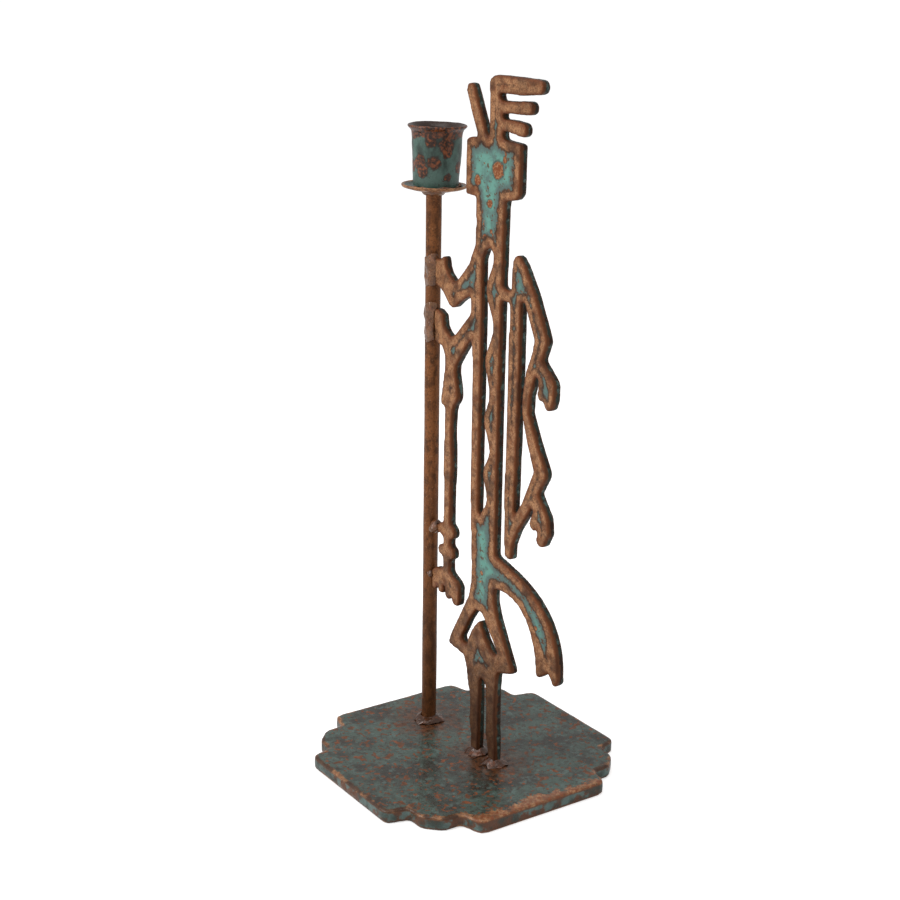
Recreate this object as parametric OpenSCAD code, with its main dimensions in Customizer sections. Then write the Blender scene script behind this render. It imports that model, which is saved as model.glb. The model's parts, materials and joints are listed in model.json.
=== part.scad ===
// Welded steel candle holder. A round stem with a drip pan and a cup for one taper
// candle stands on a scalloped base plate, beside a dancing figure that is cut from
// one plate. The figure stands on its two feet, and its left hands hold the stem.
// The origin is at the centre of the base plate's underside. +X runs along the
// figure's plate, away from the stem, the figure's front looks towards -Y, +Z is up.

/* [Base plate] */
// Length of the base plate along the figure
base_x = 140; // [132:1:160]
// Width of the base plate, front to back
base_y = 145.6; // [132:0.2:160]
// Thickness of the base plate
base_t = 7.2; // [5:0.1:10]
// How far each scalloped corner reaches along both of its sides
corner_run = 34; // [32:0.5:38]
// How far the two notches of a corner lie in from the nearer side
notch_in = 12; // [9:0.5:14]

/* [Stem] */
// Diameter of the round stem
stem_d = 7.94; // [6:0.02:10]
// Distance of the stem's axis from the centre of the base, along the figure
stem_x = 38.5; // [36.5:0.5:40]
// Height of the stem's top end, where the drip pan sits
stem_top = 298.4; // [290:0.2:305]

/* [Drip pan and cup] */
// Outer diameter of the drip pan
pan_d = 33.2; // [30:0.2:40]
// Thickness of the pan's sheet
pan_t = 1.2; // [0.8:0.1:2]
// Height of the pan's turned-up rim above its underside
pan_h = 2.6; // [2:0.1:5]
// Height of the cup's lip above the pan's floor
cup_h = 31; // [26:0.5:36]
// Outer diameter of the cup at its foot
cup_foot_d = 22.6; // [22.2:0.1:24]
// Outer diameter of the cup just below the lip
cup_top_d = 25; // [24.6:0.1:26]
// Outer diameter of the flared lip
lip_d = 30.2; // [28:0.2:34]
// Diameter of the straight bore that holds the candle
bore_d = 22.4; // [22:0.1:22.6]
// Depth of the straight bore below the lip
bore_depth = 16; // [12:0.5:18]
// How far the cup's axis stands off the stem's axis, along X and along Y
cup_shift = [0.6, 0.8]; // [-1:0.1:1]

/* [Figure plate] */
// Thickness of the plate that the figure is cut from
plate_t = 4.76; // [3.2:0.02:6.4]
// Radius of the inner corners of the cut
cut_fillet = 0.8; // [0.4:0.1:0.9]
// Radius of the outer corners of the cut
cut_round = 1.2; // [0.6:0.1:1.6]

/* [Welds] */
// Radius of one ripple of a weld bead
ripple_r = 3.4; // [2.8:0.1:4]
// Number of ripples round the stem's foot
foot_ripples = 9; // [7:1:12]

/* [Hidden] */
$fn = 48;

// Colours: bare brown steel, green patina, darker weld metal and base
brown = "#8a5a3c";
patina = "#6f9a90";
dark_steel = "#5c6460";
weld_brown = "#4a3226";

// Middle of the base plate's sides, and the line that the stem and the figure share
half_x = base_x / 2;
half_y = base_y / 2;
stem_r = stem_d / 2;
line_y = plate_t / 2;
stem_at = [-stem_x, line_y, 0];
cup_at = [-stem_x + cup_shift.x, line_y + cup_shift.y, stem_top + pan_t];
bore_r = bore_d / 2;

// Where the figure is joined: the hands' ends along the stem's side, as heights, and
// the feet on the base, as places along the plate
grip_x = -stem_x + stem_r;
upper_grip = [251.4, 264.2];
lower_grip = [222.6, 238.8];
left_foot = [5.2, 10.6];
right_foot = [20.8, 26];
bead_tip = [-31.1, 121.8];
finger_tip = [-33.9, 94.4];

// Outline helpers

// Points of the arc that rounds the corner at b, between a and c, with radius r
function corner_arc(a, b, c, r, steps = 5) =
    let (
        u = (a - b) / norm(a - b),
        v = (c - b) / norm(c - b),
        half = acos(u * v) / 2,
        reach = r / tan(half),
        centre = b + (u + v) / norm(u + v) * r / sin(half),
        start = b + u * reach - centre,
        turn = sign(u.x * v.y - u.y * v.x) * -(180 - 2 * half)
    )
    [for (i = [0 : steps]) let (w = turn * i / steps)
        centre + [start.x * cos(w) - start.y * sin(w), start.x * sin(w) + start.y * cos(w)]];

// A closed outline from corners given as [x, y, radius]
function rounded(corners) =
    let (n = len(corners))
    [for (i = [0 : n - 1])
        let (
            a = corners[(i + n - 1) % n],
            b = corners[i],
            c = corners[(i + 1) % n]
        )
        each corner_arc([a.x, a.y], [b.x, b.y], [c.x, c.y], b.z)];

// Points along a cubic curve from p0 to p3
function curve(p0, p1, p2, p3, steps = 11) =
    [for (i = [0 : steps]) let (t = i / steps, s = 1 - t)
        s * s * s * p0 + 3 * s * s * t * p1 + 3 * s * t * t * p2 + t * t * t * p3];

// A wavy edge that swings smoothly from one crest to the next
function waves(crests, steps = 5) =
    [for (i = [0 : len(crests) - 2], k = [0 : steps - 1])
        let (t = (1 - cos(180 * k / steps)) / 2, z = k / steps)
        [crests[i].x + (crests[i + 1].x - crests[i].x) * t,
            crests[i].y + (crests[i + 1].y - crests[i].y) * z]];

// A limb of changing width, from stations given as [x, z, width]
module limb(stations) {
    for (i = [0 : len(stations) - 2]) {
        a = [stations[i].x, stations[i].y];
        b = [stations[i + 1].x, stations[i + 1].y];
        along = (b - a) / norm(b - a);
        side = [-along.y, along.x] / 2;
        polygon([
            a + side * stations[i].z,
            b + side * stations[i + 1].z,
            b - side * stations[i + 1].z,
            a - side * stations[i].z
        ]);
    }
    for (s = stations)
        translate([s.x, s.y]) circle(d = s.z, $fn = 18);
}

// A weld bead: one ripple at each place
module bead(places, r = ripple_r) {
    for (p = places)
        translate(p) sphere(r, $fn = 32);
}

// Base plate

// The corner at +X +Y, from the X side to the Y side: a notch, a lobe and a notch
function scalloped_corner() =
    let (notch_run = corner_run - 3, lobe_run = corner_run - 13)
    [
        [half_x, half_y - corner_run, 4.5],
        [half_x - notch_in, half_y - notch_run, 1.2],
        [half_x - notch_in - 0.5, half_y - lobe_run, 8],
        [half_x - lobe_run, half_y - notch_in - 0.5, 8],
        [half_x - notch_run, half_y - notch_in, 1.2],
        [half_x - corner_run, half_y, 4.5]
    ];

// The same corner mirrored into another quadrant, kept in anticlockwise order
function placed_corner(sx, sy) =
    let (c = scalloped_corner(), n = len(c))
    [for (i = [0 : n - 1])
        let (p = sx * sy > 0 ? c[i] : c[n - 1 - i])
        [sx * p.x, sy * p.y, p.z]];

module base_plate() {
    color(dark_steel)
        linear_extrude(base_t)
            polygon(rounded(concat(
                placed_corner(1, 1),
                placed_corner(-1, 1),
                placed_corner(-1, -1),
                placed_corner(1, -1)
            )));
}

// Stem, drip pan and cup

module stem_rod() {
    color(brown)
        translate(stem_at)
            translate([0, 0, base_t])
                cylinder(h = stem_top - base_t, r = stem_r);
}

// A shallow dish: flat floor, sloped wall and a rounded rim
module drip_pan() {
    pan_r = pan_d / 2;
    floor_r = pan_r - 3.4;
    color(brown)
        translate(stem_at)
            translate([0, 0, stem_top])
                rotate_extrude($fn = 64)
                    polygon([
                        [0, 0],
                        [floor_r, 0],
                        [pan_r - 0.5, pan_h - pan_t - 0.3],
                        [pan_r, pan_h - pan_t / 2],
                        [pan_r - 0.3, pan_h],
                        [pan_r - 1.3, pan_h - 0.2],
                        [floor_r - 0.6, pan_t],
                        [0, pan_t]
                    ]);
}

// A tapered cup with a flared lip. The candle sits in the straight bore at the top.
module candle_cup() {
    wall_in = cup_foot_d / 2 - 1.1;
    color(patina)
        translate(cup_at)
            difference() {
                rotate_extrude($fn = 64)
                    polygon([
                        [0, 0],
                        [cup_foot_d / 2 - 0.8, 0],
                        [cup_foot_d / 2, 0.8],
                        [cup_top_d / 2 - 0.5, cup_h * 0.45],
                        [cup_top_d / 2, cup_h - 4.5],
                        [cup_top_d / 2 + 0.6, cup_h - 2.6],
                        [lip_d / 2 - 0.4, cup_h - 1.3],
                        [lip_d / 2, cup_h - 0.7],
                        [lip_d / 2 - 0.4, cup_h],
                        [bore_r + 1.6, cup_h - 0.5],
                        [bore_r, cup_h - 2.2],
                        [0, cup_h - 2.2]
                    ]);
                translate([0, 0, cup_h - 2.2 - bore_depth])
                    cylinder(h = bore_depth + 1, r = bore_r);
                translate([0, 0, 1.4])
                    cylinder(h = cup_h - 3.6 - bore_depth + 0.2, r1 = wall_in - 0.3, r2 = bore_r - 0.4);
            }
}

// Figure plate: each part of the figure is drawn in the plate's plane as [x, z]

module head() {
    polygon([
        [-7.8, 300.2], [-7.8, 325.8], [-5.6, 327.6], [10, 329.5], [22, 329.2], [36.4, 328.2],
        [36, 304.8], [33.4, 302.2], [24, 300.6], [12, 298], [0, 299.8]
    ]);
}

module feather() {
    polygon([[1.2, 327], [1.2, 330], [-8.4, 349.6], [-6.6, 353.4], [-2.9, 352.7], [8.3, 330.4], [8.3, 327]]);
}

module plume() {
    limb([[14.8, 353.7, 8.6], [14.7, 349, 7.8], [16, 340, 10], [16.4, 328, 11]]);
    limb([[16, 354.2, 8.2], [34, 354.3, 8.4], [48.7, 354.9, 6.8]]);
    limb([[18, 344, 5.6], [28, 344.2, 5.8], [41.4, 345, 6.4]]);
    limb([[19, 336, 4.8], [28, 335.6, 6], [36.6, 334.8, 6.8]]);
}

// Neck, both bars of the trunk and the hips, before the slot is cut
module trunk() {
    polygon([
        [1.1, 302], [1.5, 288], [1.2, 277], [-2.1, 262], [-2.1, 242], [-0.6, 226], [0.6, 215],
        [0.5, 160], [0.7, 145], [1.3, 133], [2.2, 113], [2.2, 100.6], [8, 88],
        [14, 88], [22.6, 98], [22.6, 124], [22.5, 150], [22.8, 200], [23, 225], [23.4, 255],
        [23.8, 270], [24.1, 290], [24.7, 302]
    ]);
}

// The slot between the trunk's plain bar and its wavy bar
module trunk_slot() {
    polygon(concat(
        [[7.1, 141.5], [6.9, 160], [7.2, 200], [7.4, 250], [6.9, 266], [7.2, 270.5], [9.6, 274.8], [13.6, 277.2]],
        waves([
            [16.6, 273.5], [11.1, 256], [17.1, 238.6], [11.1, 220.6], [15, 204],
            [11.1, 190.8], [16, 175.5], [11.1, 163.4], [14.5, 150], [9.4, 139.4]
        ]),
        [[9.4, 139.6]]
    ));
}

// The two left arms with the hands that hold the stem. Their ends stop at the stem.
module left_arms() {
    polygon([
        [3, 279], [1.2, 277.4], [-3.4, 267.3], [-13.2, 257], [-17.4, 255.2], [-22.4, 258.6],
        [-24, 261.8], [-24.8, 266], [-26.8, 266.9], [-29, 264.8], [grip_x, upper_grip[1]],
        [grip_x, upper_grip[0]], [-28.9, 250.1], [-25.6, 247.8], [-21, 242.9], [-18, 241.7],
        [-15.5, 242.5], [-12, 245.4], [-5.8, 249.1], [-1, 251.2], [3, 251.4]
    ]);
    polygon([
        [3, 243], [-2.2, 241.8], [-11.4, 232.1], [-15.6, 228.4], [-19.4, 226.6], [-23, 228.5],
        [-25.6, 231.2], [-26.2, 236.6], [-28.6, 237.6], [-30.6, 238.6], [grip_x, lower_grip[1]],
        [grip_x, lower_grip[0]], [-29.4, 220.9], [-26.4, 220.4], [-24.2, 216.6], [-23.8, 211],
        [-24.9, 204.5], [-27.2, 192.4], [-26.6, 190.2], [-23.4, 189.4], [-16.4, 188.6], [-15.8, 191.3],
        [-13.2, 194.2], [-12.2, 197], [-12.8, 201.4], [-14.8, 208.6], [-14.4, 212.6], [-9.7, 219],
        [-5.5, 224.4], [-1, 229.6], [3, 231]
    ]);
}

// The hanging forearm with two round beads at the wrist and a hand of four fingers
module hanging_forearm() {
    limb([[-20.1, 192, 6.8], [-20.6, 178, 6], [-20.3, 158, 7.6], [-20.5, 146, 5.9], [-20.7, 128, 6.2],
        [-20.5, 100, 6]]);
    limb([[-29.4, 121.8, 3.4], [-24.4, 122.9, 7.2], [-20.8, 123, 10.2], [-17.4, 122.8, 7.6]]);
    limb([[-25.2, 111.2, 6], [-21.4, 111.2, 8.8], [-17.2, 111.2, 7]]);
    polygon([[-23.6, 101.2], [-31, 99.3], [-34, 96.6], [-34, 92], [-8.4, 92], [-8.2, 94.6],
        [-10.4, 97.2], [-16.4, 100.2]]);
    limb([[-31.6, 95, 4.8], [-31.5, 89.2, 4.4]]);
    limb([[-25.4, 95, 4.6], [-25.5, 88.8, 4.8]]);
    limb([[-18.8, 95, 5], [-18.7, 87.8, 5.2]]);
    limb([[-11.6, 94, 6.2], [-11.7, 86.8, 6.2]]);
}

// The bridge from the trunk to the bar that carries both right arms, and that bar
module right_bar() {
    polygon([[22, 252.8], [22, 259.6], [27, 258.9], [34, 259.2], [34, 252.8]]);
    polygon([
        [30.3, 252], [30.3, 258], [39, 258], [39.1, 225], [38.6, 195], [37.8, 165], [37.4, 150],
        [36.5, 134], [36.1, 124.2], [30.8, 124.8], [29.9, 134], [29.3, 158], [30, 190], [30.2, 230]
    ]);
}

module right_arms() {
    polygon([[31.3, 256], [31.5, 269], [32.4, 274.2], [34.8, 276.8], [37.8, 275.8],
        [43.2, 267.8], [42.4, 255], [38.5, 255.2]]);
    limb([[37.6, 270, 8.6], [46.8, 256, 9], [55.3, 239.4, 9.4], [52.4, 231, 7.8], [47.6, 221, 7], [45.2, 211, 5.6],
        [44.8, 202, 5.2], [50.5, 188.4, 7.6], [57.8, 175.2, 9.2], [52.8, 166, 8], [46.4, 154.6, 6.8],
        [37.6, 142, 6.4], [33.6, 134, 7]]);
}

// A right hand, with its bent fingers, drawn from the wrist at the upper end
module right_hand() {
    limb([[53.4, 227, 8], [61.8, 219, 9.6], [62.6, 213.6, 7.8], [62.2, 210.4, 6.6]]);
    limb([[58.6, 219.4, 8], [57.2, 213.8, 6.8]]);
}

module lower_right_hand() {
    limb([[53.2, 162.4, 7.6], [60, 152.4, 9.6], [61.4, 147, 8.6], [59.4, 141.8, 6.8]]);
    limb([[57.4, 155, 7.6], [53.4, 148.4, 6.2]]);
}

// The tail sweeps out behind the hips and ends in a fork
module tail() {
    polygon(concat(
        [[18, 124], [22.2, 122.6]],
        curve([24, 121.8], [50, 116.8], [77.8, 107], [76.4, 73]),
        [[73.6, 70], [68.6, 76], [60.4, 70.2]],
        curve([59, 72.2], [56, 104], [36, 108], [22, 104.6]),
        [[18, 104]]
    ));
}

// Thighs with pointed knees, a skirt with a pointed top between them, and two legs
module lower_body() {
    difference() {
        polygon([
            [2.2, 101], [0.1, 93.4], [-6.4, 82.2], [-15.6, 66.6], [-17.2, 62], [-15.8, 60.8], [-2.9, 59.2],
            [-0.9, 54.2], [1, 45], [2.8, 40], [3.6, 33], [2.8, 26], [4.4, 18],
            [left_foot[0], base_t], [left_foot[1], base_t],
            [11, 20], [11.1, 35], [11.5, 50], [13.4, 52.4], [16.6, 50.5],
            [17.2, 42], [18, 33], [17.6, 24], [19.4, 16],
            [right_foot[0], base_t], [right_foot[1], base_t],
            [26.4, 16], [26, 26], [25.4, 36], [25.5, 46], [26.3, 58], [27.4, 60.4], [33.8, 62.2], [39.2, 64],
            [38.8, 66.6], [32.4, 77.8], [27.4, 86.4], [24.4, 92.2], [22.2, 99], [22.4, 104]
        ]);
        polygon([
            [-5.9, 68], [1.2, 80.3], [5.3, 86], [10, 91.2], [18.6, 80.8], [26.6, 71.4], [25.4, 69.6],
            [22, 68.8], [15.4, 74.8], [10.2, 83.8], [3.6, 76], [0.6, 69.8], [0, 66.4], [-4.8, 66.2]
        ]);
    }
}

module figure_outline() {
    offset(r = -cut_fillet, $fn = 8)
        offset(r = cut_fillet + cut_round, $fn = 10)
            offset(delta = -cut_round) {
                difference() {
                    union() {
                        trunk();
                        head();
                        right_bar();
                    }
                    trunk_slot();
                }
                feather();
                plume();
                left_arms();
                hanging_forearm();
                right_arms();
                right_hand();
                lower_right_hand();
                tail();
                lower_body();
            }
}

// Gives a drawing in the figure's plane the plate's thickness
module plate_of() {
    translate([0, plate_t, 0])
        rotate([90, 0, 0])
            linear_extrude(plate_t)
                children();
}

module figure_plate() {
    color(brown)
        plate_of() figure_outline();
}

// Welds: beads of overlapping ripples, cut back to the faces of what they join

module stem_space() {
    translate(stem_at) cylinder(h = stem_top, r = stem_r);
}

module base_space() {
    translate([-half_x, -half_y, 0]) cube([base_x, base_y, base_t]);
}

// A ring of ripples round the stem's foot
module rod_foot_weld() {
    ring_r = stem_r + 0.9;
    color(weld_brown)
        difference() {
            bead([for (i = [0 : foot_ripples - 1])
                let (w = 360 * i / foot_ripples)
                stem_at + [ring_r * cos(w), ring_r * sin(w), base_t + 0.6]]);
            stem_space();
            base_space();
        }
}

// Ripples all round a foot: along its front, its back and over both ends
module foot_weld(foot) {
    ripples = 3;
    rise = base_t + 0.4;
    rows = [for (i = [0 : ripples], y = [-0.9, plate_t + 0.9])
        [foot[0] + (foot[1] - foot[0]) * i / ripples, y, rise]];
    ends = [[foot[0] - 1, line_y, rise], [foot[1] + 1, line_y, rise]];
    color(weld_brown)
        difference() {
            bead(concat(rows, ends), ripple_r - 0.4);
            plate_of() lower_body();
            base_space();
        }
}

module left_foot_weld() {
    foot_weld(left_foot);
}

module right_foot_weld() {
    foot_weld(right_foot);
}

// Two rows of ripples over the joint between a hand's end and the stem, with one more
// over the top of the hand
module hand_weld(grip) {
    reach = grip[1] - grip[0] - 1;
    ripples = round(reach / 3.2);
    rows = [for (i = [0 : ripples])
        let (z = grip[0] + 1 + reach * i / ripples)
        each [[grip_x - 0.9, -0.7, z], [grip_x - 3.4, -0.2, z - 1.2]]];
    color(weld_brown)
        difference() {
            bead(concat(rows, [[grip_x + 0.2, -0.4, grip[1] + 0.6]]), ripple_r - 0.7);
            stem_space();
            plate_of() left_arms();
            // No metal runs into the narrow gap between the round stem and the hand's end
            translate([grip_x - 1.2, 0.8, grip[0] - 5])
                cube([8, plate_t, grip[1] - grip[0] + 10]);
        }
}

module upper_hand_weld() {
    hand_weld(upper_grip);
}

module lower_hand_weld() {
    hand_weld(lower_grip);
}

// A single tack between the stem and the tip of the plate that reaches it
module tack(tip, r) {
    color(weld_brown)
        difference() {
            translate([tip.x - 0.4, line_y - 1.6, tip.y]) sphere(r, $fn = 32);
            stem_space();
            translate([tip.x, 0, tip.y - r]) cube([2 * r, plate_t, 2 * r]);
        }
}

module bead_tack_weld() {
    tack(bead_tip, 3.4);
}

module paw_tack_weld() {
    tack(finger_tip, 2.4);
}

// Braze metal under the pan, round the stem's top
module pan_braze() {
    color(weld_brown)
        translate(stem_at)
            translate([0, 0, stem_top])
                rotate_extrude()
                    polygon([[stem_r, 0], [stem_r + 2.2, 0], [stem_r + 1, -0.8], [stem_r + 0.4, -2], [stem_r, -3]]);
}

// Braze metal in the corner between the cup's foot and the pan
module cup_braze() {
    foot_r = cup_foot_d / 2;
    color(weld_brown)
        translate(cup_at)
            rotate_extrude($fn = 64)
                polygon([[foot_r - 0.8, 0], [foot_r + 0.6, 0], [foot_r, 0.8]]);
}

base_plate();
stem_rod();
drip_pan();
candle_cup();
figure_plate();
rod_foot_weld();
left_foot_weld();
right_foot_weld();
upper_hand_weld();
lower_hand_weld();
bead_tack_weld();
paw_tack_weld();
pan_braze();
cup_braze();
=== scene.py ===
import json
import math

import bmesh
import bpy
from bpy.props import FloatProperty, FloatVectorProperty, PointerProperty
from mathutils import Matrix, Vector, kdtree, noise


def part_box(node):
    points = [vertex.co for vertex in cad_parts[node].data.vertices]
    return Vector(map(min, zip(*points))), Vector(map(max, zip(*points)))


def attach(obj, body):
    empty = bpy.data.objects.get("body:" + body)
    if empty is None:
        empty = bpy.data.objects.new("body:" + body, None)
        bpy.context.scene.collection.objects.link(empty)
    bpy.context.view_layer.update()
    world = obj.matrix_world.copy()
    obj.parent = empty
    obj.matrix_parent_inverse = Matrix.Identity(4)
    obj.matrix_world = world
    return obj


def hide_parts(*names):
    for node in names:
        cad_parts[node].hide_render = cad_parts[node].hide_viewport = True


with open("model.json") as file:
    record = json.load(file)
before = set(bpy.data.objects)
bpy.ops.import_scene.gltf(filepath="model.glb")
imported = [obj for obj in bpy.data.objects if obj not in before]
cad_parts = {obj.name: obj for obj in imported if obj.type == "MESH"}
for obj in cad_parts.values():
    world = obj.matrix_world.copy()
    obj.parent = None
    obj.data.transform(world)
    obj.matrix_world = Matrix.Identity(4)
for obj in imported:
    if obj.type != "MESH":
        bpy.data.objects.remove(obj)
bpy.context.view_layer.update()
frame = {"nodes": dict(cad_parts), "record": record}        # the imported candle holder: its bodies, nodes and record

bl_info = {
    "name": "Patina Steel Candle Holder",
    "version": (1, 0, 0),
    "blender": (4, 5, 0),
    "location": "View3D > Sidebar > Candle Holder",
    "description": "Dresses a welded steel candle holder in its brown and green patina",
    "category": "Object",
}

MM = 0.001
X, Y, Z = 0, 1, 2

# Rust spots on the figure's front, as place along the plate, height and radius in mm
FIGURE_SPOTS = [
    (19, 314.5, 4.4), (2.6, 308, 2.6), (24.5, 320, 1.7), (28, 305.5, 1.6), (13, 298, 2.2),
    (9.5, 281, 2.0), (14.5, 285, 1.2), (4.5, 117, 1.6), (12, 110, 1.3), (58, 96, 1.4),
]

# Rust patches round the cup, as azimuth in degrees, height above its foot and radius in mm
CUP_SPOTS = [
    (-40, 13, 3.3), (-12, 21.5, 3.8), (-9, 18, 2.6), (-79, 12.5, 4.2), (-72, 9, 3.4), (-5, 6, 2.1),
    (33, 10.5, 3.0), (-49, 23.5, 2.8), (120, 15, 4.2), (165, 8, 2.6), (200, 19, 3.6), (250, 11, 3.0),
]


# Sizes and colours that a user may change

def tone(code):
    """The linear colour of a six-figure sRGB code"""
    parts = [int(code[i:i + 2], 16) / 255 for i in (0, 2, 4)]
    return tuple(c / 12.92 if c <= 0.04045 else ((c + 0.055) / 1.055) ** 2.4 for c in parts)


def colour(name, description, code):
    return FloatVectorProperty(
        name=name, description=description, default=tone(code),
        subtype="COLOR", size=3, min=0, max=1)


def length(name, description, millimetres):
    return FloatProperty(
        name=name, description=description, default=millimetres * MM,
        subtype="DISTANCE", unit="LENGTH", min=0)


class PatinaColours(bpy.types.PropertyGroup):
    brown_light: colour("Light brown", "Worn copper-brown along the cut edges", "b18059")
    brown_dark: colour("Dark brown", "Deep brown in the mottling", "5c361e")
    brown_deep: colour("Deepest brown", "Brown of pits and of the lines round the patina", "2f1c12")
    teal_light: colour("Light patina", "Turquoise in the widest places", "689a8d")
    teal_grey: colour("Grey patina", "Grey-green patina in the narrow places", "586c67")
    rust: colour("Rust", "Orange rust spots", "7e4423")
    cut_green: colour("Cut face green", "Dark green of the cut faces", "2c362f")
    base_teal: colour("Base patina", "Grey-green top of the base plate", "43534b")
    base_dark: colour("Base shade", "Dark parts of the base plate's top", "2a2620")
    stem_brown: colour("Stem brown", "Rust brown of the stem", "86522c")
    stem_dark: colour("Stem shade", "Dark streaks of the stem", "452813")
    cup_teal: colour("Cup patina", "Green patina of the cup", "4c665d")
    cup_dark: colour("Cup shade", "Dark parts of the cup's patina", "29322c")
    weld: colour("Weld metal", "Dark brown weld beads", "412414")


class SurfaceSizes(bpy.types.PropertyGroup):
    figure_mesh: length("Figure mesh", "Size of the even mesh on the figure's plate", 0.72)
    base_mesh: length("Base mesh", "Size of the even mesh on the base plate", 1.0)
    weld_mesh: length("Weld mesh", "Size of the even mesh on the weld beads", 0.36)
    patina_edge: length("Brown border", "Width of the brown border round the patina", 4.9)
    base_border: length("Base border", "Width of the brown border of the base plate", 1.9)
    hammer: length("Unevenness", "How far the plates' faces roll in and out", 0.12)
    cut_ripple: length("Cut ripple", "Depth of the ripples that the cut left in the edges", 0.16)
    weld_ripple: length("Weld ripple", "Depth of the lumps on the weld beads", 0.5)
    weld_overlap: length("Weld overlap", "How far a bead runs into what it joins", 0.42)
    weld_toe: length("Weld toe", "How thick a hand's bead is on the far side of the stem", 0.25)


class StageSettings(bpy.types.PropertyGroup):
    camera_place: FloatVectorProperty(
        name="Camera place", description="Where the camera stands",
        default=(0.6653, -0.4681, 0.4199), subtype="XYZ", unit="LENGTH")
    heading: FloatProperty(
        name="Heading", description="Direction of view, anticlockwise from +X",
        default=math.radians(145.58), subtype="ANGLE")
    dip: FloatProperty(
        name="Dip", description="How far the view looks down",
        default=math.radians(16.94), subtype="ANGLE")
    roll: FloatProperty(
        name="Roll", description="Turn of the camera about its view",
        default=math.radians(0.755), subtype="ANGLE")
    lens: FloatProperty(
        name="Lens", description="Focal length on a sensor 36 mm wide", default=67.6, min=1)
    sky: FloatProperty(
        name="Sky", description="Strength of the even light from all round", default=0.58, min=0)
    key: FloatProperty(
        name="Key", description="Power of the large light in front", default=13, min=0, unit="POWER")
    top: FloatProperty(
        name="Top", description="Power of the soft light above", default=6, min=0, unit="POWER")
    floor: colour("Floor", "Colour of the floor", "f0f0f0")


# Meshes

def flattened(place, axis):
    """The place with its part along the axis taken out"""
    flat = place.copy()
    flat[axis] = 0
    return flat


def merged_copy(node):
    """A bmesh of a CAD node with its loose triangles joined"""
    bm = bmesh.new()
    bm.from_mesh(frame["nodes"][node].data)
    bmesh.ops.remove_doubles(bm, verts=bm.verts, dist=0.002 * MM)
    bm.normal_update()
    return bm


def worn_copy(node, mesh_size, passes):
    """An even quad mesh of a CAD node, with its edges worn round by smoothing"""
    source = merged_copy(node)
    mesh = bpy.data.meshes.new(node + "_even")
    source.to_mesh(mesh)
    source.free()
    carrier = bpy.data.objects.new(node + "_even", mesh)
    bpy.context.scene.collection.objects.link(carrier)
    even = carrier.modifiers.new("Even", "REMESH")
    even.mode = "VOXEL"
    even.voxel_size = mesh_size
    bpy.context.view_layer.update()
    bm = bmesh.new()
    bm.from_object(carrier, bpy.context.evaluated_depsgraph_get())
    bpy.data.objects.remove(carrier)
    for _ in range(passes):
        bmesh.ops.smooth_vert(
            bm, verts=bm.verts, factor=0.5, use_axis_x=True, use_axis_y=True, use_axis_z=True)
    bm.normal_update()
    return bm


def roughen(bm, size, depth, stretch=(1, 1, 1), layer=None, above=-1.0):
    """Moves the surface in and out by a soft noise of that size and depth"""
    for vert in bm.verts:
        if vert.co.z < above:
            continue
        place = Vector(a * b / size for a, b in zip(vert.co, stretch))
        weight = vert[layer] if layer else 1
        vert.co += vert.normal * (depth * weight * noise.noise(place))
    bm.normal_update()


def outline_tree(node, axis):
    """A search tree of points along the outline of a flat node, seen along its axis"""
    bm = merged_copy(node)
    low = min(vert.co[axis] for vert in bm.verts)
    points = []
    for edge in bm.edges:
        on_face = all(vert.co[axis] < low + 0.05 * MM for vert in edge.verts)
        beside_wall = any(abs(face.normal[axis]) < 0.5 for face in edge.link_faces)
        if on_face and beside_wall:
            start, end = (flattened(vert.co, axis) for vert in edge.verts)
            steps = max(1, math.ceil((end - start).length / (0.4 * MM)))
            points += [start.lerp(end, i / steps) for i in range(steps)]
    bm.free()
    tree = kdtree.KDTree(len(points))
    for index, point in enumerate(points):
        tree.insert(point, index)
    tree.balance()
    return tree


def mark_plate(bm, node, axis):
    """Notes on each vertex its distance from the cut edge in mm, and how far it is wall"""
    tree = outline_tree(node, axis)
    gap = bm.verts.layers.float.new("gap")
    wall = bm.verts.layers.float.new("wall")
    for vert in bm.verts:
        vert[gap] = tree.find(flattened(vert.co, axis))[2] / MM
        vert[wall] = 1 - abs(vert.normal[axis])
    return wall


def mark_near(bm, name, centres):
    """Notes how near each vertex is to the centres, each a place with its reach"""
    near = bm.verts.layers.float.new(name)
    for vert in bm.verts:
        vert[near] = max(1 - (vert.co - centre).length / reach for centre, reach in centres)


def soft_path(corners, spacing=0.8):
    """Points of a profile from corners given as radius, height and rounding, all in mm"""
    corners = [(Vector((c[0], c[1])), c[2]) for c in corners]
    path = [corners[0][0]]
    for (before, _), (corner, rounding), (after, _) in zip(corners, corners[1:], corners[2:]):
        start = corner + (before - corner).normalized() * rounding
        end = corner + (after - corner).normalized() * rounding
        for i in range(5):
            t = i / 4
            path.append(start * (1 - t) ** 2 + corner * 2 * t * (1 - t) + end * t * t)
    path.append(corners[-1][0])
    points = [path[0]]
    for end in path[1:]:
        start = points[-1]
        steps = max(1, math.ceil((end - start).length / spacing))
        points += [start.lerp(end, i / steps) for i in range(1, steps + 1)]
    return points


def spun(profile, centre, steps=112):
    """Spins a profile that starts and ends on the upright axis through centre"""
    bm = bmesh.new()
    verts = [bm.verts.new(centre + Vector((p.x, 0, p.y)) * MM) for p in profile]
    edges = [bm.edges.new(pair) for pair in zip(verts, verts[1:])]
    bmesh.ops.spin(
        bm, geom=verts + edges, cent=centre, axis=(0, 0, 1), dvec=(0, 0, 0),
        angle=math.tau, steps=steps, use_merge=True)
    bmesh.ops.remove_doubles(bm, verts=bm.verts, dist=0.005 * MM)
    bmesh.ops.dissolve_degenerate(bm, dist=0.001 * MM, edges=bm.edges)
    bmesh.ops.recalc_face_normals(bm, faces=bm.faces)
    bm.normal_update()
    return bm


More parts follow.
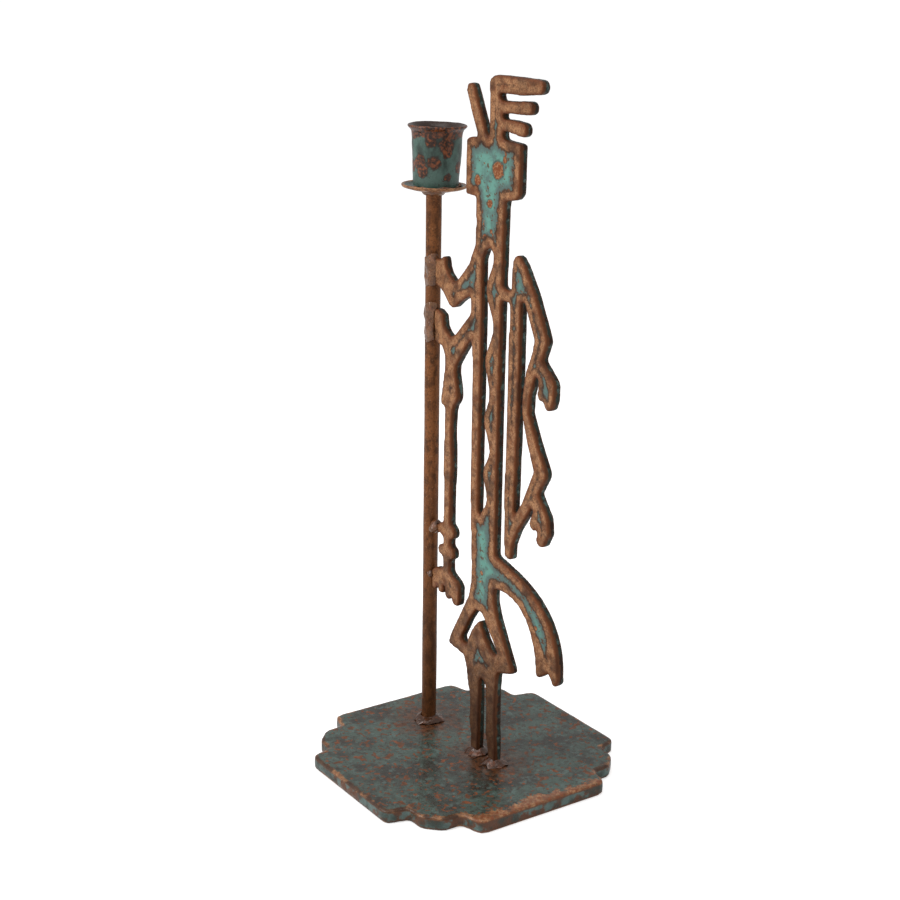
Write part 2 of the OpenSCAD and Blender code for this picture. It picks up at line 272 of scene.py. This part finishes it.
def lean(bm, foot, angle):
    """Leans a turned piece about its foot, to the right as the camera sees it"""
    heading = bpy.context.scene.candle_stage.heading
    towards_camera = Vector((-math.cos(heading), -math.sin(heading), 0))
    bmesh.ops.rotate(
        bm, cent=foot, matrix=Matrix.Rotation(-angle, 3, towards_camera), verts=bm.verts)


def add_piece(name, bm, material, node):
    """Turns a finished bmesh into a smooth piece that stands for its CAD node"""
    mesh = bpy.data.meshes.new(name)
    bm.to_mesh(mesh)
    bm.free()
    mesh.shade_smooth()
    mesh.materials.append(material)
    piece = bpy.data.objects.new(name, mesh)
    bpy.context.scene.collection.objects.link(piece)
    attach(piece, "root")
    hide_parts(node)
    return piece


# Materials

class Recipe:
    """Builds one material, with patterns in millimetres on Object coordinates"""

    def __init__(self, name):
        self.material = bpy.data.materials.new(name)
        self.material.use_nodes = True
        self.tree = self.material.node_tree
        self.tree.nodes.clear()
        output = self.tree.nodes.new("ShaderNodeOutputMaterial")
        self.shader = self.tree.nodes.new("ShaderNodeBsdfPrincipled")
        self.tree.links.new(self.shader.outputs["BSDF"], output.inputs["Surface"])
        coordinates = self.tree.nodes.new("ShaderNodeTexCoord")
        self.place = self.vector("MULTIPLY", coordinates.outputs["Object"], (1 / MM,) * 3)
        split = self.tree.nodes.new("ShaderNodeSeparateXYZ")
        self.tree.links.new(self.place, split.inputs[0])
        self.along = split.outputs

    def put(self, socket, value):
        """Links a socket, or writes a plain number, colour or vector in it"""
        if isinstance(value, bpy.types.NodeSocket):
            self.tree.links.new(value, socket)
        elif socket.type == "RGBA":
            socket.default_value = (*value, 1)
        else:
            socket.default_value = value

    def vector(self, operation, a, b):
        node = self.tree.nodes.new("ShaderNodeVectorMath")
        node.operation = operation
        self.put(node.inputs[0], a)
        self.put(node.inputs[1], b)
        return node.outputs[0]

    def sum(self, operation, a, b):
        node = self.tree.nodes.new("ShaderNodeMath")
        node.operation = operation
        self.put(node.inputs[0], a)
        self.put(node.inputs[1], b)
        return node.outputs[0]

    def attribute(self, name):
        node = self.tree.nodes.new("ShaderNodeAttribute")
        node.attribute_name = name
        return node.outputs["Fac"]

    def noise(self, size, detail=3, stretch=(1, 1, 1), shift=0):
        """A soft noise about 0.5, with features of that size in mm"""
        node = self.tree.nodes.new("ShaderNodeTexNoise")
        moved = self.vector("ADD", self.vector("MULTIPLY", self.place, stretch), (shift,) * 3)
        self.put(node.inputs["Vector"], moved)
        node.inputs["Scale"].default_value = 1 / size
        node.inputs["Detail"].default_value = detail
        node.inputs["Roughness"].default_value = 0.58
        return node.outputs["Fac"]

    def wobble(self, size, amount, shift=0):
        """A noise about zero, from minus to plus half the amount at most"""
        centred = self.sum("SUBTRACT", self.noise(size, shift=shift), 0.5)
        return self.sum("MULTIPLY", centred, amount)

    def step(self, value, low, high, top=1.0):
        """Rises smoothly from 0 to top as the value goes from low to high"""
        node = self.tree.nodes.new("ShaderNodeMapRange")
        node.interpolation_type = "SMOOTHSTEP"
        self.put(node.inputs["Value"], value)
        node.inputs["From Min"].default_value = low
        node.inputs["From Max"].default_value = high
        node.inputs["To Max"].default_value = top
        return node.outputs["Result"]

    def mix(self, share, a, b):
        node = self.tree.nodes.new("ShaderNodeMix")
        node.data_type = "RGBA"
        self.put(node.inputs[0], share)
        self.put(node.inputs[6], a)
        self.put(node.inputs[7], b)
        return node.outputs[2]

    def finish(self, base, roughness, bump, depth, metallic=0.0, specular=0.5):
        """Connects the shader and returns the material"""
        self.put(self.shader.inputs["Base Color"], base)
        self.put(self.shader.inputs["Roughness"], roughness)
        self.shader.inputs["Metallic"].default_value = metallic
        self.shader.inputs["Specular IOR Level"].default_value = specular
        node = self.tree.nodes.new("ShaderNodeBump")
        node.inputs["Distance"].default_value = depth * MM
        node.inputs["Strength"].default_value = 1.0
        self.put(node.inputs["Height"], bump)
        self.tree.links.new(node.outputs["Normal"], self.shader.inputs["Normal"])
        return self.material


def mottled_brown(recipe, colours):
    """Copper-brown steel: broad mottling, rusty veins, fine grain and small dark pits"""
    broad = recipe.step(recipe.noise(6, detail=5), 0.4, 0.68, top=0.9)
    brown = recipe.mix(broad, colours.brown_light, colours.brown_dark)
    veins = recipe.step(recipe.noise(3.2, detail=4, shift=12), 0.5, 0.64, top=0.5)
    brown = recipe.mix(veins, brown, colours.rust)
    grain = recipe.step(recipe.noise(0.7, detail=3, shift=31), 0.44, 0.66, top=0.7)
    brown = recipe.mix(grain, brown, colours.brown_dark)
    pits = recipe.step(recipe.noise(1.5, shift=57), 0.62, 0.7, top=0.8)
    return recipe.mix(pits, brown, colours.brown_deep)


def figure_finish():
    """Brown borders, turquoise middles with rust spots, and dark green cut faces"""
    colours = bpy.context.scene.candle_patina
    border = bpy.context.scene.candle_surface.patina_edge / MM
    recipe = Recipe("figure patina")
    brown = mottled_brown(recipe, colours)
    # Rusty dark brown within about 2 mm of the cut edges: partly the edges' own colour, partly painted shade standing
    # in for the rounding of the edges
    edge_shade_reach = recipe.sum("ADD", recipe.attribute("gap"), recipe.wobble(3, 1.6, shift=3))
    edge_rust_and_shade = recipe.mix(0.5, colours.brown_dark, colours.rust)
    brown = recipe.mix(recipe.step(edge_shade_reach, 0.2, 2.0), edge_rust_and_shade, brown)
    smoke = recipe.step(recipe.noise(11, detail=4, shift=64), 0.5, 0.66, top=0.55)
    brown = recipe.mix(smoke, brown, colours.brown_deep)
    # Darker brown towards the bottom of the figure
    low = recipe.sum("ADD", recipe.along["Z"], recipe.wobble(14, 50, shift=27))
    lower_brown = recipe.mix(0.72, brown, colours.brown_deep)
    brown = recipe.mix(recipe.step(low, 30, 95), lower_brown, brown)
    wander = recipe.sum("ADD", recipe.wobble(9, 5.5), recipe.wobble(2, 3.2, shift=13))
    reach = recipe.sum("ADD", recipe.attribute("gap"), wander)
    # The skirt, the legs and the hands on the stem have hardly any patina
    bare = recipe.sum("MAXIMUM", recipe.step(recipe.along["Z"], 98, 82), recipe.step(recipe.along["X"], -16, -21))
    reach = recipe.sum("SUBTRACT", reach, recipe.sum("MULTIPLY", bare, 3.8))
    greener = recipe.sum("MULTIPLY", recipe.step(recipe.along["X"], 29, 33), recipe.step(recipe.along["Z"], 192, 212))
    greener = recipe.sum("MULTIPLY", greener, recipe.step(recipe.along["Z"], 290, 275))
    reach = recipe.sum("ADD", reach, recipe.sum("MULTIPLY", greener, 0.9))
    line = recipe.step(reach, border - 1.2, border - 0.1, top=0.8)
    middle = recipe.step(reach, border, border + 1.1)
    deep = recipe.step(reach, border + 1, border + 5)
    teal = recipe.mix(deep, colours.teal_grey, colours.teal_light)
    cloud = recipe.step(recipe.noise(6, detail=4, shift=71), 0.44, 0.66, top=0.85)
    teal = recipe.mix(cloud, teal, colours.teal_grey)
    speck = recipe.step(recipe.noise(2.2, detail=3, shift=91), 0.59, 0.65, top=0.85)
    teal = recipe.mix(speck, teal, colours.brown_dark)
    blot = recipe.step(recipe.noise(3.4, detail=2, shift=43), 0.67, 0.71)
    spot = recipe.sum("ADD", recipe.attribute("spot"), recipe.wobble(2, 0.8, shift=5))
    teal = recipe.mix(recipe.step(spot, -0.3, 0.02, top=0.6), teal, colours.brown_deep)
    rusty = recipe.sum("MAXIMUM", blot, recipe.step(spot, 0.0, 0.16))
    rust = recipe.mix(recipe.step(recipe.noise(1.3, shift=8), 0.45, 0.65, top=0.8), colours.rust, colours.brown_light)
    teal = recipe.mix(rusty, teal, rust)
    face = recipe.mix(line, brown, colours.brown_deep)
    face = recipe.mix(middle, face, teal)
    # A cut face is brown where it meets the front and the back, and green between them
    thickness = (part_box("figure_plate")[1].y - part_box("figure_plate")[0].y) / MM
    in_from_front = recipe.sum("ADD", recipe.along["Y"], recipe.wobble(3, 3, shift=23))
    green = recipe.step(in_from_front, 1.5, 2.4)
    back = recipe.step(in_from_front, thickness - 0.9, thickness - 0.3)
    green = recipe.sum("SUBTRACT", green, back)
    shade = recipe.step(recipe.noise(3.2, detail=4, shift=17), 0.34, 0.5)
    cut = recipe.mix(shade, colours.teal_grey, colours.cut_green)
    stain = recipe.step(recipe.noise(5, detail=4, shift=52), 0.46, 0.6)
    cut = recipe.mix(stain, cut, colours.brown_deep)
    cut = recipe.mix(green, colours.brown_dark, cut)
    wall = recipe.step(recipe.attribute("wall"), 0.55, 0.9)
    base = recipe.mix(wall, face, cut)
    roughness = recipe.step(recipe.noise(2.5, shift=3), 0.3, 0.7, top=0.3)
    roughness = recipe.sum("ADD", roughness, 0.36)
    return recipe.finish(base, roughness, recipe.noise(0.9, detail=4), 0.14,
                         metallic=0.25, specular=0.22)


def base_finish():
    """Dark grey-green, glossy, with rust specks, a brown rim and brown round the welds"""
    colours = bpy.context.scene.candle_patina
    border = bpy.context.scene.candle_surface.base_border / MM
    recipe = Recipe("base patina")
    broad = recipe.step(recipe.noise(14, detail=5), 0.42, 0.62, top=0.9)
    top = recipe.mix(broad, colours.base_teal, colours.base_dark)
    light = recipe.step(recipe.noise(4, detail=4, shift=66), 0.53, 0.68, top=0.6)
    top = recipe.mix(light, top, colours.teal_grey)
    fine = recipe.step(recipe.noise(1.8, detail=3, shift=19), 0.5, 0.66, top=0.75)
    top = recipe.mix(fine, top, colours.brown_deep)
    small = recipe.step(recipe.noise(3, detail=1, shift=37), 0.605, 0.64)
    large = recipe.step(recipe.noise(6.5, detail=1.5, shift=83), 0.64, 0.665)
    specks = recipe.sum("MAXIMUM", small, large)
    speck_brown = recipe.mix(recipe.step(recipe.noise(3, shift=14), 0.36, 0.54), colours.rust, colours.brown_dark)
    top = recipe.mix(specks, top, speck_brown)
    bloom = recipe.sum("ADD", recipe.attribute("bloom"), recipe.wobble(6, 0.9, shift=7))
    singed = recipe.mix(recipe.step(recipe.noise(2.4, shift=25), 0.4, 0.62), colours.brown_dark, colours.brown_deep)
    top = recipe.mix(recipe.step(bloom, 0.15, 0.8, top=0.9), top, singed)
    brown = mottled_brown(recipe, colours)
    rim = recipe.sum("ADD", recipe.attribute("gap"), recipe.wobble(5, 5, shift=61))
    rim = recipe.sum("ADD", rim, recipe.wobble(1.6, 1.8, shift=47))
    patchy = recipe.step(recipe.noise(7, detail=3, shift=95), 0.38, 0.54, top=0.85)
    rim_brown = recipe.mix(patchy, brown, colours.brown_deep)
    top = recipe.mix(recipe.step(rim, border - 0.7, border + 0.5), rim_brown, top)
    # The side at +X is rubbed to a light brown in a ragged band
    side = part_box("base_plate")[1].x / MM
    rubbed = recipe.sum("ADD", recipe.along["X"], recipe.wobble(12, 20, shift=35))
    rubbed = recipe.sum("ADD", rubbed, recipe.wobble(1.8, 11, shift=73))
    rubbed_brown = recipe.mix(recipe.step(recipe.noise(2.5, shift=88), 0.45, 0.6), brown, colours.rust)
    top = recipe.mix(recipe.step(rubbed, side - 6.5, side - 5, top=0.9), top, rubbed_brown)
    # The rim's wall is green with brown patches, and brown along both of its edges
    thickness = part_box("base_plate")[1].z / MM
    patches = recipe.step(recipe.noise(6, detail=4, shift=29), 0.42, 0.54)
    cut = recipe.mix(patches, colours.teal_grey, colours.brown_dark)
    cut = recipe.mix(recipe.step(recipe.noise(9, shift=15), 0.4, 0.6, top=0.85), cut, colours.cut_green)
    up = recipe.sum("ADD", recipe.along["Z"], recipe.wobble(3, 1.4, shift=77))
    edges = recipe.sum("SUBTRACT", recipe.step(up, 0.8, 1.8), recipe.step(up, thickness - 1.9, thickness - 1.1))
    cut = recipe.mix(edges, colours.brown_dark, cut)
    wall = recipe.step(recipe.attribute("wall"), 0.5, 0.9)
    base = recipe.mix(wall, top, cut)
    roughness = recipe.step(recipe.noise(3.5, shift=3), 0.35, 0.7, top=0.2)
    roughness = recipe.sum("ADD", roughness, 0.2)
    roughness = recipe.sum("ADD", roughness, recipe.sum("MULTIPLY", specks, 0.2))
    return recipe.finish(base, roughness, recipe.noise(1.8, detail=4), 0.12, specular=0.42)


def stem_finish():
    """Rust brown with upright mottles, darker towards the foot"""
    colours = bpy.context.scene.candle_patina
    recipe = Recipe("stem patina")
    mottles = recipe.noise(3.4, detail=5, stretch=(1, 1, 0.55))
    brown = recipe.mix(recipe.step(mottles, 0.44, 0.66, top=0.85), colours.stem_brown, colours.stem_dark)
    bands = recipe.step(recipe.noise(20, detail=3, shift=9), 0.42, 0.66, top=0.5)
    brown = recipe.mix(bands, brown, colours.brown_dark)
    grain = recipe.step(recipe.noise(0.9, shift=21), 0.5, 0.68, top=0.7)
    brown = recipe.mix(grain, brown, colours.stem_dark)
    pale = recipe.step(recipe.noise(1.3, detail=3, shift=45), 0.6, 0.72, top=0.5)
    brown = recipe.mix(pale, brown, colours.brown_light)
    foot = recipe.step(recipe.along["Z"], 8, 170)
    dark = recipe.mix(0.6, brown, colours.stem_dark)
    brown = recipe.mix(foot, dark, brown)
    return recipe.finish(brown, 0.4, recipe.noise(1.4, detail=4), 0.16, metallic=0.3, specular=0.25)


def cup_finish():
    """Glossy green patina with rust patches, a brown band at the lip and a brown inside"""
    colours = bpy.context.scene.candle_patina
    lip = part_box("candle_cup")[1].z / MM
    recipe = Recipe("cup patina")
    broad = recipe.step(recipe.noise(9, detail=4, stretch=(1, 1, 0.6)), 0.38, 0.66)
    teal = recipe.mix(broad, colours.cup_teal, colours.cup_dark)
    fine = recipe.step(recipe.noise(1.1, detail=3, shift=19), 0.52, 0.75, top=0.5)
    teal = recipe.mix(fine, teal, colours.cup_dark)
    speck = recipe.step(recipe.noise(1.8, detail=2, shift=91), 0.67, 0.71)
    teal = recipe.mix(speck, teal, colours.brown_deep)
    rust = recipe.mix(recipe.step(recipe.noise(1.6, detail=3, shift=11), 0.36, 0.6), colours.rust, colours.brown_deep)
    spot = recipe.sum("ADD", recipe.attribute("spot"), recipe.wobble(2.4, 1.1, shift=5))
    halo = recipe.mix(recipe.step(spot, -0.22, 0.02, top=0.8), teal, colours.brown_deep)
    body = recipe.mix(recipe.step(spot, 0.0, 0.14), halo, rust)
    up = recipe.sum("ADD", recipe.along["Z"], recipe.wobble(6, 9, shift=33))
    band = recipe.step(up, lip - 6.4, lip - 5.2)
    body = recipe.mix(band, body, rust)
    inner = recipe.step(recipe.attribute("inside"), 0.3, 0.6)
    base = recipe.mix(inner, body, colours.brown_deep)
    return recipe.finish(base, 0.3, recipe.noise(1.4, detail=4), 0.16, specular=0.4)


def pan_finish():
    """Brown outside and rim, grey-green floor"""
    colours = bpy.context.scene.candle_patina
    recipe = Recipe("pan patina")
    brown = mottled_brown(recipe, colours)
    spot = recipe.sum("ADD", recipe.attribute("inside"), recipe.wobble(3, 0.6, shift=5))
    teal = recipe.mix(recipe.step(recipe.noise(4, detail=4), 0.4, 0.62), colours.cup_teal, colours.cup_dark)
    base = recipe.mix(recipe.step(spot, 0.45, 0.6), brown, teal)
    return recipe.finish(base, 0.34, recipe.noise(1.2, detail=4), 0.1, metallic=0.15, specular=0.35)


def weld_finish():
    """Dark brown, glossy weld metal with brighter brown on its lumps"""
    colours = bpy.context.scene.candle_patina
    recipe = Recipe("weld metal")
    lumps = recipe.step(recipe.noise(2.2, detail=4), 0.44, 0.62)
    base = recipe.mix(lumps, colours.weld, colours.stem_dark)
    glow = recipe.step(recipe.noise(3.6, detail=2, shift=41), 0.48, 0.62, top=0.5)
    base = recipe.mix(glow, base, colours.rust)
    pits = recipe.step(recipe.noise(0.9, shift=3), 0.58, 0.68)
    base = recipe.mix(pits, base, colours.brown_deep)
    high = recipe.step(recipe.along["Z"], 60, 160, top=0.42)
    base = recipe.mix(high, base, mottled_brown(recipe, colours))
    return recipe.finish(base, 0.2, recipe.noise(1.2, detail=4), 0.16, metallic=0.15, specular=0.6)


# Pieces

def make_figure():
    """The dancing figure, cut from plate"""
    sizes = bpy.context.scene.candle_surface
    bm = worn_copy("figure_plate", sizes.figure_mesh, passes=4)
    wall = mark_plate(bm, "figure_plate", Y)
    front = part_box("figure_plate")[0].y
    spots = [(Vector((x * MM, front, z * MM)), radius * MM) for x, z, radius in FIGURE_SPOTS]
    mark_near(bm, "spot", spots)
    roughen(bm, 8 * MM, sizes.hammer)
    roughen(bm, 1.9 * MM, sizes.hammer * 0.4)
    roughen(bm, 1.5 * MM, sizes.cut_ripple, stretch=(1, 0.3, 1), layer=wall)
    add_piece("cut_figure", bm, figure_finish(), "figure_plate")


def make_base():
    """The scalloped base plate, with the brown bloom that the welds left on it"""
    sizes = bpy.context.scene.candle_surface
    bm = worn_copy("base_plate", sizes.base_mesh, passes=6)
    wall = mark_plate(bm, "base_plate", Z)
    reaches = {"rod_foot_weld": 33, "left_foot_weld": 23, "right_foot_weld": 29}
    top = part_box("base_plate")[1].z
    centres = []
    for node, reach in reaches.items():
        low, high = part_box(node)
        middle = (low + high) / 2
        centres.append((Vector((middle.x, middle.y, top)), reach * MM))
    mark_near(bm, "bloom", centres)
    above = 0.8 * MM
    roughen(bm, 14 * MM, sizes.hammer * 1.2, above=above)
    roughen(bm, 3 * MM, sizes.hammer * 0.5, above=above)
    roughen(bm, 2.6 * MM, sizes.cut_ripple * 1.2, stretch=(1, 1, 0.4), layer=wall, above=above)
    add_piece("scalloped_base", bm, base_finish(), "base_plate")


def make_stem():
    """The round stem between the base and the pan"""
    low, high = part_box("stem_rod")
    centre = (low + high) / 2
    radius = (high.x - low.x) / 2
    height = high.z - low.z
    bm = bmesh.new()
    bmesh.ops.create_cone(
        bm, cap_ends=True, segments=48, radius1=radius, radius2=radius, depth=height,
        matrix=Matrix.Translation(centre))
    upright = [e for e in bm.edges if abs(e.verts[0].co.z - e.verts[1].co.z) > height / 2]
    bmesh.ops.subdivide_edges(bm, edges=upright, cuts=230, use_grid_fill=True)
    bm.normal_update()
    hammer = bpy.context.scene.candle_surface.hammer
    roughen(bm, 9 * MM, hammer, stretch=(1, 1, 0.4))
    roughen(bm, 2 * MM, hammer * 0.4)
    add_piece("round_stem", bm, stem_finish(), "stem_rod")


def make_pan():
    """The drip pan: a thin dish with a rounded rim"""
    low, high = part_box("drip_pan")
    foot = Vector(((low.x + high.x) / 2, (low.y + high.y) / 2, low.z))
    radius = (high.x - low.x) / 2 / MM
    rim = (high.z - low.z) / MM
    floor = 1.2
    profile = soft_path([
        (0, 0, 0), (radius - 3.6, 0, 1.6), (radius - 0.4, rim - 1.5, 0.5), (radius, rim - 0.6, 0.3),
        (radius - 0.4, rim, 0.3), (radius - 1.4, rim - 0.3, 0.4), (radius - 4, floor, 1.8), (0, floor, 0),
    ])
    bm = spun(profile, foot)
    inside = bm.verts.layers.float.new("inside")
    for vert in bm.verts:
        out = flattened(vert.co - foot, Z).length / MM
        vert[inside] = 1 if vert.normal.z > 0.3 and out < radius - 1.6 else 0
    roughen(bm, 6 * MM, 0.22 * MM)
    lean(bm, foot, math.radians(1.3))
    add_piece("wax_pan", bm, pan_finish(), "drip_pan")


def make_cup():
    """The candle cup: tapered, with a flared lip and a straight bore"""
    low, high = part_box("candle_cup")
    foot = Vector(((low.x + high.x) / 2, (low.y + high.y) / 2, low.z))
    lip = (high.x - low.x) / 2 / MM
    height = (high.z - low.z) / MM
    bore = frame["record"]["mounts"][0]["dims"]["r_mm"]
    profile = soft_path([
        (0, 0, 0), (10.9, 0, 0.3), (11.4, 0.9, 0.5), (12.1, 13.5, 5), (12.55, height - 5, 2.2),
        (13.2, height - 2.7, 0.9), (lip - 0.5, height - 1.5, 0.5), (lip, height - 0.8, 0.35),
        (lip - 0.5, height, 0.35), (bore + 1.9, height - 0.8, 0.9), (bore, height - 2.6, 0.9),
        (bore, 12.8, 0.2), (bore - 0.5, 12.5, 0.2), (9.9, 1.4, 0.8), (0, 1.4, 0),
    ])
    bm = spun(profile, foot)
    inside = bm.verts.layers.float.new("inside")
    for vert in bm.verts:
        outward = flattened(vert.co - foot, Z).normalized()
        vert[inside] = 1 if vert.normal.dot(outward) < -0.2 else 0
    spots = []
    for azimuth, up, radius in CUP_SPOTS:
        turn = math.radians(azimuth)
        place = foot + Vector((12.3 * math.cos(turn), 12.3 * math.sin(turn), up)) * MM
        spots.append((place, radius * MM))
    mark_near(bm, "spot", spots)
    roughen(bm, 11 * MM, 0.35 * MM)
    roughen(bm, 3 * MM, 0.1 * MM)
    lean(bm, foot, math.radians(0.8))
    add_piece("taper_cup", bm, cup_finish(), "candle_cup")


def ragged(place, depth):
    """Up to that depth more or less, so that the edge of a bead isn't even"""
    return depth * noise.noise(place / (4.5 * MM))


def thin_over_stem(bm, sizes):
    """Thins a hand's bead round the stem, so that it ends in a ragged toe away from the hand"""
    low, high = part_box("stem_rod")
    axis = (low + high) / 2
    radius = (high.x - low.x) / 2
    for vert in bm.verts:
        out = flattened(vert.co - axis, Z)
        towards_hand = max(0, out.normalized().x)
        most = radius + sizes.weld_toe * (1 + 9 * towards_hand) + ragged(vert.co, 1.6 * sizes.weld_ripple)
        if out.length > most:
            vert.co -= out.normalized() * (0.8 * (out.length - most))
    bm.normal_update()


def thin_over_base(bm, node, sizes):
    """Thins a foot's bead outwards, so that it ends in a ragged toe on the base"""
    low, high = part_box(node)
    half = (high - low) / 2
    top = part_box("base_plate")[1].z
    for vert in bm.verts:
        side = vert.co - (low + high) / 2
        inward = 1.05 - math.hypot(side.x / half.x, side.y / half.y)
        most = top + 0.75 * half.x * inward + ragged(vert.co, 2.4 * sizes.weld_ripple)
        if vert.co.z > most:
            vert.co.z -= 0.85 * (vert.co.z - most)
    bm.normal_update()


def make_beads(nodes, material):
    """Lumpy, glossy beads where the pieces are joined"""
    sizes = bpy.context.scene.candle_surface
    for node in nodes:
        bm = worn_copy(node, sizes.weld_mesh, passes=22)
        for vert in bm.verts:
            vert.co += vert.normal * sizes.weld_overlap
        bm.normal_update()
        roughen(bm, 6 * MM, sizes.weld_ripple * 3)
        roughen(bm, 2.8 * MM, sizes.weld_ripple * 0.7)
        if node.endswith("hand_weld"):
            thin_over_stem(bm, sizes)
        if node.endswith("foot_weld"):
            thin_over_base(bm, node, sizes)
        roughen(bm, 1.2 * MM, sizes.weld_ripple * 0.2)
        add_piece(node + "_bead", bm, material, node)


def make_stage():
    """The floor, the world, two lamps and the camera at the photograph's place"""
    scene = bpy.context.scene
    stage = scene.candle_stage
    bm = bmesh.new()
    bmesh.ops.create_grid(bm, x_segments=1, y_segments=1, size=60)
    mesh = bpy.data.meshes.new("floor")
    bm.to_mesh(mesh)
    bm.free()
    floor = bpy.data.objects.new("floor", mesh)
    scene.collection.objects.link(floor)
    floor.data.materials.append(floor_material(stage.floor))
    light_world(stage.sky)
    aim = Vector((0, 0, 0.17))
    add_lamp("key", (-0.55, -1.35, 1.0), aim, stage.key, 0.9)
    add_lamp("top", (0.1, -0.3, 1.6), aim, stage.top, 1.0)
    add_camera(stage)
    scene.view_settings.view_transform = "Standard"


def floor_material(shade):
    """A pale floor that keeps soft shadows and turns white for the camera"""
    material = bpy.data.materials.new("pale floor")
    material.use_nodes = True
    tree = material.node_tree
    shader = tree.nodes["Principled BSDF"]
    shader.inputs["Base Color"].default_value = (*shade, 1)
    shader.inputs["Roughness"].default_value = 0.9
    shader.inputs["Specular IOR Level"].default_value = 0.0
    shader.inputs["Emission Color"].default_value = (1, 1, 1, 1)
    rays = tree.nodes.new("ShaderNodeLightPath")
    share = tree.nodes.new("ShaderNodeMath")
    share.operation = "MULTIPLY"
    share.inputs[1].default_value = 0.55
    tree.links.new(rays.outputs["Is Camera Ray"], share.inputs[0])
    tree.links.new(share.outputs[0], shader.inputs["Emission Strength"])
    return material


def light_world(strength):
    """White to the camera, softer as light on the object and in its reflections"""
    world = bpy.data.worlds.new("studio")
    bpy.context.scene.world = world
    world.use_nodes = True
    tree = world.node_tree
    background = tree.nodes["Background"]
    background.inputs["Color"].default_value = (1, 1, 1, 1)
    rays = tree.nodes.new("ShaderNodeLightPath")
    level = tree.nodes.new("ShaderNodeMapRange")
    tree.links.new(rays.outputs["Is Camera Ray"], level.inputs["Value"])
    level.inputs["To Min"].default_value = strength
    level.inputs["To Max"].default_value = 1.0
    tree.links.new(level.outputs["Result"], background.inputs["Strength"])


def add_lamp(name, place, aim, power, size):
    lamp = bpy.data.lights.new(name, "AREA")
    lamp.energy = power
    lamp.size = size
    holder = bpy.data.objects.new(name, lamp)
    holder.location = place
    holder.rotation_euler = (aim - Vector(place)).to_track_quat("-Z", "Y").to_euler()
    bpy.context.scene.collection.objects.link(holder)


def add_camera(stage):
    """A camera from its place, heading, dip and roll"""
    forward = Vector((
        math.cos(stage.dip) * math.cos(stage.heading),
        math.cos(stage.dip) * math.sin(stage.heading),
        -math.sin(stage.dip)))
    level = Vector((math.sin(stage.heading), -math.cos(stage.heading), 0))
    upright = level.cross(forward)
    right = level * math.cos(stage.roll) + upright * math.sin(stage.roll)
    up = upright * math.cos(stage.roll) - level * math.sin(stage.roll)
    data = bpy.data.cameras.new("photo view")
    data.lens = stage.lens
    data.sensor_width = 36
    camera = bpy.data.objects.new("photo_view", data)
    turn = Matrix((right, up, -forward)).transposed()
    camera.matrix_world = Matrix.Translation(stage.camera_place) @ turn.to_4x4()
    bpy.context.scene.collection.objects.link(camera)
    bpy.context.scene.camera = camera


# Operators

class CANDLE_OT_stage(bpy.types.Operator):
    """Set the floor, the light and the camera"""
    bl_idname = "candle.stage"
    bl_label = "Stage"

    def execute(self, context):
        make_stage()
        return {"FINISHED"}


class CANDLE_OT_figure(bpy.types.Operator):
    """Make the dancing figure cut from plate"""
    bl_idname = "candle.figure"
    bl_label = "Cut Figure"

    def execute(self, context):
        make_figure()
        return {"FINISHED"}


class CANDLE_OT_base(bpy.types.Operator):
    """Make the scalloped base plate"""
    bl_idname = "candle.base"
    bl_label = "Base Plate"

    def execute(self, context):
        make_base()
        return {"FINISHED"}


class CANDLE_OT_stem(bpy.types.Operator):
    """Make the round stem"""
    bl_idname = "candle.stem"
    bl_label = "Stem"

    def execute(self, context):
        make_stem()
        return {"FINISHED"}


class CANDLE_OT_cup(bpy.types.Operator):
    """Make the drip pan and the candle cup"""
    bl_idname = "candle.cup"
    bl_label = "Pan and Cup"

    def execute(self, context):
        make_pan()
        make_cup()
        return {"FINISHED"}


class CANDLE_OT_welds(bpy.types.Operator):
    """Make the weld and braze beads"""
    bl_idname = "candle.welds"
    bl_label = "Welds"

    def execute(self, context):
        metal = weld_finish()
        welds = sorted(n for n in frame["nodes"] if n.endswith("_weld"))
        brazes = sorted(n for n in frame["nodes"] if n.endswith("_braze"))
        make_beads(welds, metal)
        make_beads(brazes, metal)
        return {"FINISHED"}


OPERATORS = (
    CANDLE_OT_stage, CANDLE_OT_figure, CANDLE_OT_base, CANDLE_OT_stem, CANDLE_OT_cup, CANDLE_OT_welds,
)


class CANDLE_PT_panel(bpy.types.Panel):
    """Lists the pieces and their settings"""
    bl_label = "Candle Holder"
    bl_idname = "CANDLE_PT_panel"
    bl_space_type = "VIEW_3D"
    bl_region_type = "UI"
    bl_category = "Candle Holder"

    def draw(self, context):
        for operator in OPERATORS:
            self.layout.operator(operator.bl_idname)
        for group in (context.scene.candle_patina, context.scene.candle_surface, context.scene.candle_stage):
            box = self.layout.box()
            for name in group.__annotations__:
                box.prop(group, name)


GROUPS = {"candle_patina": PatinaColours, "candle_surface": SurfaceSizes, "candle_stage": StageSettings}


def register():
    for name, group in GROUPS.items():
        bpy.utils.register_class(group)
        setattr(bpy.types.Scene, name, PointerProperty(type=group))
    for item in (*OPERATORS, CANDLE_PT_panel):
        bpy.utils.register_class(item)


def unregister():
    for item in reversed((*OPERATORS, CANDLE_PT_panel)):
        bpy.utils.unregister_class(item)
    for name, group in GROUPS.items():
        delattr(bpy.types.Scene, name)
        bpy.utils.unregister_class(group)


def main():
    register()
    for made in (bpy.ops.candle.stage, bpy.ops.candle.figure, bpy.ops.candle.base,
                 bpy.ops.candle.stem, bpy.ops.candle.cup, bpy.ops.candle.welds):
        made()


if __name__ == "__main__":
    main()
